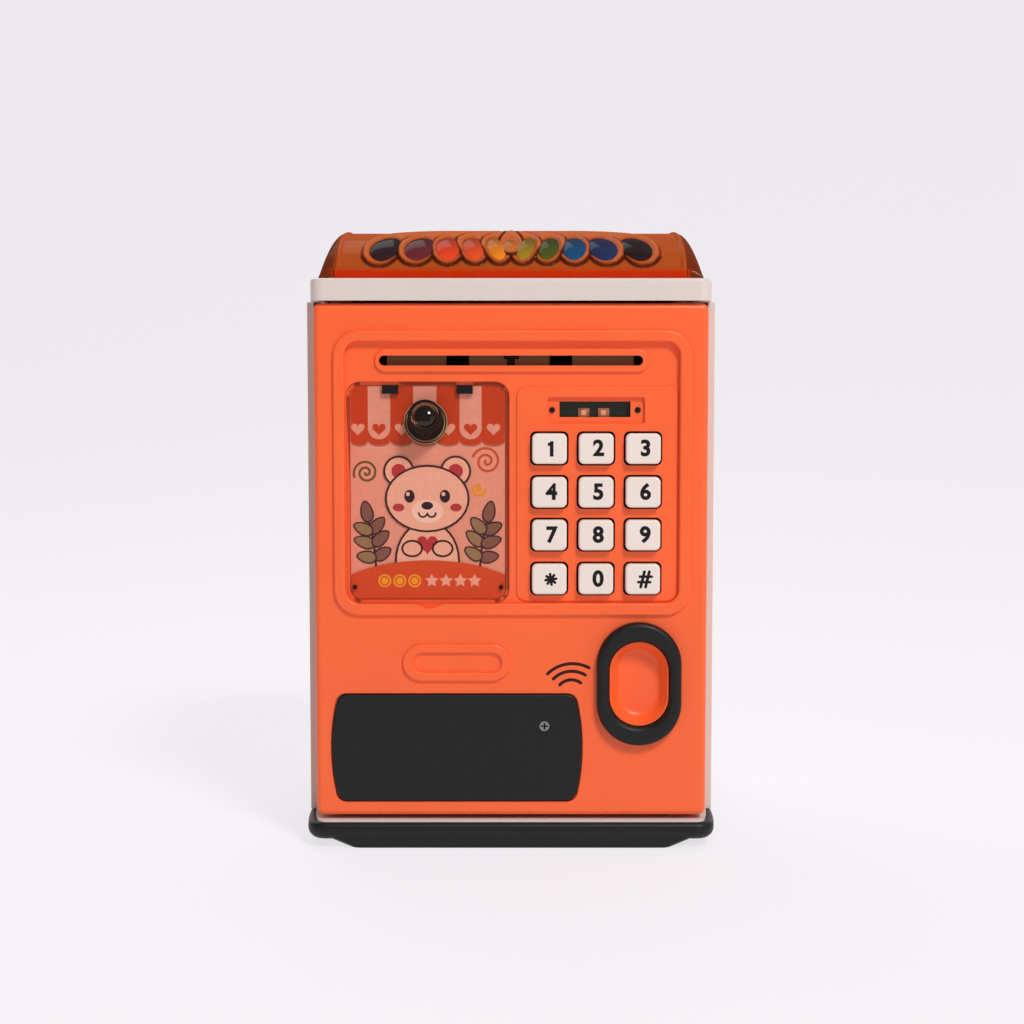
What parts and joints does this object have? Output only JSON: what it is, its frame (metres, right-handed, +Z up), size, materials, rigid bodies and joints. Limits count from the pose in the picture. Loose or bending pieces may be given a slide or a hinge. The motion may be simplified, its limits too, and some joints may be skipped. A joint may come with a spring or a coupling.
{
  "type": "toy cash-machine savings bank",
  "caption": "Toy savings bank shaped like a cash machine: hinged door with keypad, motor-fed note slot, picture window, finger pad and latch, under a clear jewelled dome.",
  "frame": {"origin": "centre of the footprint, on the surface it stands on", "axes": "+X to the right seen from the front, +Y to the back, +Z up; the door faces -Y"},
  "size_m": [0.1366, 0.131, 0.206],
  "materials": {
    "orange": "satin moulded ABS",
    "white": "satin moulded ABS",
    "black": "satin moulded ABS",
    "amber": "clear tinted plastic",
    "gems": "tinted plastic in a rainbow row",
    "key_white": "satin keycaps",
    "rubber_grey": "silicone sheet",
    "rubber_black": "roller rubber",
    "board_green": "circuit board",
    "led": "small lamps",
    "card": "printed card",
    "tray": "moulded tray",
    "black_matte": "matte black plastic",
    "lens_glass": "dark lens",
    "steel": "zinc-plated steel",
    "brass_gear": "machined brass",
    "gear_plastic": "acetal",
    "olive": "dark olive-brown plastic",
    "cell": "plain wrapped cells",
    "motor_can": "steel can",
    "paper_cone": "speaker cone"
  },
  "bodies": {
    "case": {"base": "black", "body_shell": "white", "lid": "white", "dome_cover": "amber", "gem_inserts": "gems", "coin_chute": "white", "hinge_pins": "steel", "base_screws": "steel", "lid_screws": "steel"},
    "door": {"door_front": "orange", "door_back": "orange", "door_screws": "steel", "key_mat": "rubber_grey", "key_board": "board_green", "indicator_board": "board_green", "indicator_leds": "led", "indicator_screws": "black_matte", "window_cover": "amber", "picture_card": "card", "window_tray": "tray", "window_clips": "black_matte", "window_pins": "black_matte", "camera_socket": "black", "thumb_bezel": "black", "finger_switch": "black_matte", "battery_box": "black_matte", "battery_contacts": "steel", "batteries": "cell", "note_guide": "olive", "note_curtain": "olive", "note_sensor": "black_matte", "feed_motor": "motor_can", "speaker_cone": "paper_cone", "speaker_magnet": "motor_can", "main_board": "board_green", "latch_solenoid": "motor_can"},
    "key_1_cap": {"key_1": "key_white"},
    "key_2_cap": {"key_2": "key_white"},
    "key_3_cap": {"key_3": "key_white"},
    "key_4_cap": {"key_4": "key_white"},
    "key_5_cap": {"key_5": "key_white"},
    "key_6_cap": {"key_6": "key_white"},
    "key_7_cap": {"key_7": "key_white"},
    "key_8_cap": {"key_8": "key_white"},
    "key_9_cap": {"key_9": "key_white"},
    "key_star_cap": {"key_star": "key_white"},
    "key_0_cap": {"key_0": "key_white"},
    "key_hash_cap": {"key_hash": "key_white"},
    "camera": {"camera_barrel": "black", "camera_lens": "lens_glass"},
    "finger_button": {"finger_pad": "orange"},
    "cover": {"battery_cover": "black", "battery_screw": "steel"},
    "drive": {"drive_shaft": "steel", "drive_rollers": "rubber_black", "drive_gear": "gear_plastic"},
    "idler": {"idler_shaft": "steel", "idler_rollers": "rubber_black"},
    "pinion": {"motor_pinion": "brass_gear"},
    "latch": {"latch_bolt": "gear_plastic"}
  },
  "joints": [
    {"name": "door_hinge", "type": "hinge", "parent": "case", "child": "door", "pos_m": [-0.0615, -0.045, 0.09], "axis": [0, 0, -1], "range_deg": [0, 90]},
    {"name": "key_1_press", "type": "slide", "parent": "door", "child": "key_1_cap", "axis": [0, 1, 0], "range_m": [0, 0.0012], "stiffness_N_per_m": 600, "springref_m": -0.0006},
    {"name": "key_2_press", "type": "slide", "parent": "door", "child": "key_2_cap", "axis": [0, 1, 0], "range_m": [0, 0.0012], "stiffness_N_per_m": 600, "springref_m": -0.0006},
    {"name": "key_3_press", "type": "slide", "parent": "door", "child": "key_3_cap", "axis": [0, 1, 0], "range_m": [0, 0.0012], "stiffness_N_per_m": 600, "springref_m": -0.0006},
    {"name": "key_4_press", "type": "slide", "parent": "door", "child": "key_4_cap", "axis": [0, 1, 0], "range_m": [0, 0.0012], "stiffness_N_per_m": 600, "springref_m": -0.0006},
    {"name": "key_5_press", "type": "slide", "parent": "door", "child": "key_5_cap", "axis": [0, 1, 0], "range_m": [0, 0.0012], "stiffness_N_per_m": 600, "springref_m": -0.0006},
    {"name": "key_6_press", "type": "slide", "parent": "door", "child": "key_6_cap", "axis": [0, 1, 0], "range_m": [0, 0.0012], "stiffness_N_per_m": 600, "springref_m": -0.0006},
    {"name": "key_7_press", "type": "slide", "parent": "door", "child": "key_7_cap", "axis": [0, 1, 0], "range_m": [0, 0.0012], "stiffness_N_per_m": 600, "springref_m": -0.0006},
    {"name": "key_8_press", "type": "slide", "parent": "door", "child": "key_8_cap", "axis": [0, 1, 0], "range_m": [0, 0.0012], "stiffness_N_per_m": 600, "springref_m": -0.0006},
    {"name": "key_9_press", "type": "slide", "parent": "door", "child": "key_9_cap", "axis": [0, 1, 0], "range_m": [0, 0.0012], "stiffness_N_per_m": 600, "springref_m": -0.0006},
    {"name": "key_star_press", "type": "slide", "parent": "door", "child": "key_star_cap", "axis": [0, 1, 0], "range_m": [0, 0.0012], "stiffness_N_per_m": 600, "springref_m": -0.0006},
    {"name": "key_0_press", "type": "slide", "parent": "door", "child": "key_0_cap", "axis": [0, 1, 0], "range_m": [0, 0.0012], "stiffness_N_per_m": 600, "springref_m": -0.0006},
    {"name": "key_hash_press", "type": "slide", "parent": "door", "child": "key_hash_cap", "axis": [0, 1, 0], "range_m": [0, 0.0012], "stiffness_N_per_m": 600, "springref_m": -0.0006},
    {"name": "camera_tilt", "type": "hinge", "parent": "door", "child": "camera", "pos_m": [-0.0278, -0.0586, 0.1404], "axis": [1, 0, 0], "range_deg": [0, 36]},
    {"name": "finger_press", "type": "slide", "parent": "door", "child": "finger_button", "axis": [0, 1, 0], "range_m": [0, 0.001], "stiffness_N_per_m": 600, "springref_m": -0.0006},
    {"name": "battery_cover_off", "type": "slide", "parent": "door", "child": "cover", "axis": [0, -1, 0], "range_m": [0, 0.02]},
    {"name": "drive_spin", "type": "hinge", "parent": "door", "child": "drive", "pos_m": [0, -0.051, 0.1646], "axis": [1, 0, 0], "continuous": true},
    {"name": "idler_spin", "type": "hinge", "parent": "door", "child": "idler", "pos_m": [0, -0.051, 0.1563], "axis": [1, 0, 0], "continuous": true},
    {"name": "pinion_spin", "type": "hinge", "parent": "door", "child": "pinion", "pos_m": [0, -0.051, 0.17145], "axis": [1, 0, 0], "continuous": true},
    {"name": "latch_slide", "type": "slide", "parent": "door", "child": "latch", "axis": [1, 0, 0], "range_m": [0, 0.0045]}
  ],
  "couplings": [
    {"joint": "idler_spin", "follows": "drive_spin", "ratio": -1},
    {"joint": "pinion_spin", "follows": "drive_spin", "ratio": -2}
  ]
}
